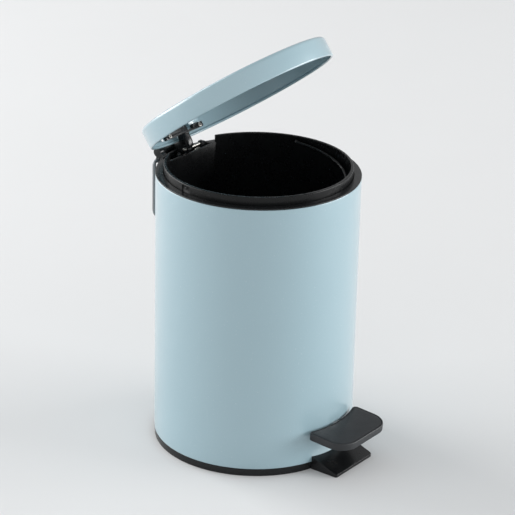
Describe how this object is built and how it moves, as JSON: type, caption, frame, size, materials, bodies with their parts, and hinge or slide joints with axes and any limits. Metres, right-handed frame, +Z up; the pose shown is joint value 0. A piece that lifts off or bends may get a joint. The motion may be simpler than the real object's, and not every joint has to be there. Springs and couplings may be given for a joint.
{
  "type": "pedal bin",
  "caption": "Cylindrical steel pedal bin with hinged lid, lift-out liner, foot pedal with lever and lift rod, and a rear wire carry handle.",
  "frame": {"origin": "centre of the base's flat underside, on the body's axis", "axes": "+Z up along the body's axis, the pedal points to -Y, the lid hinge is at +Y, X runs along the hinge pin"},
  "size_m": [0.1682, 0.213, 0.3523],
  "materials": {
    "painted_steel": "satin pale blue powder coat",
    "black_moulding": "satin moulded",
    "pedal_moulding": "fine textured",
    "liner_moulding": "semi-gloss moulded",
    "handle_wire": "satin grey coated wire",
    "plated_steel": "zinc plated"
  },
  "bodies": {
    "body": {"outer_body": "painted_steel", "base": "black_moulding", "collar": "black_moulding", "hinge_housing": "black_moulding", "housing_screws": "plated_steel", "hinge_pin": "plated_steel", "hinge_pin_clip": "plated_steel", "liner": "liner_moulding", "pivot_pin": "plated_steel", "pivot_clips": "plated_steel"},
    "lid": {"lid_shell": "painted_steel", "lid_strap": "painted_steel", "lid_bracket": "black_moulding", "bracket_screws": "plated_steel"},
    "pedal": {"pedal_lever": "plated_steel", "pivot_bush": "plated_steel", "pedal_pad": "pedal_moulding", "pedal_screws": "plated_steel"},
    "rod": {"lift_rod": "plated_steel", "rod_top_clip": "black_moulding", "rod_bottom_clip": "plated_steel"},
    "handle": {"carry_handle": "handle_wire"},
    "bail": {"liner_bail": "liner_moulding"}
  },
  "joints": [
    {"name": "lid_hinge", "type": "hinge", "parent": "body", "child": "lid", "pos_m": [0, 0.0909, 0.23535], "axis": [-1, 0, 0], "range_deg": [-36.5, 35]},
    {"name": "pedal_pivot", "type": "hinge", "parent": "body", "child": "pedal", "pos_m": [0, -0.03, 0.02075], "axis": [1, 0, 0], "range_deg": [-4.9, 4.7]},
    {"name": "rod_crank", "type": "hinge", "parent": "lid", "child": "rod", "pos_m": [0, 0.0756, 0.237], "axis": [-1, 0, 0], "range_deg": [-35.1, 36.6]},
    {"name": "handle_swing", "type": "hinge", "parent": "body", "child": "handle", "pos_m": [0, 0.0891, 0.2295], "axis": [1, 0, 0], "range_deg": [0, 125]},
    {"name": "bail_swing", "type": "hinge", "parent": "body", "child": "bail", "pos_m": [0, 0.015, 0.2386], "axis": [-1, 0, 0], "range_deg": [-64, 12]}
  ],
  "couplings": [
    {"joint": "pedal_pivot", "follows": "lid_hinge", "ratio": 0.133},
    {"joint": "rod_crank", "follows": "lid_hinge", "ratio": -1}
  ]
}
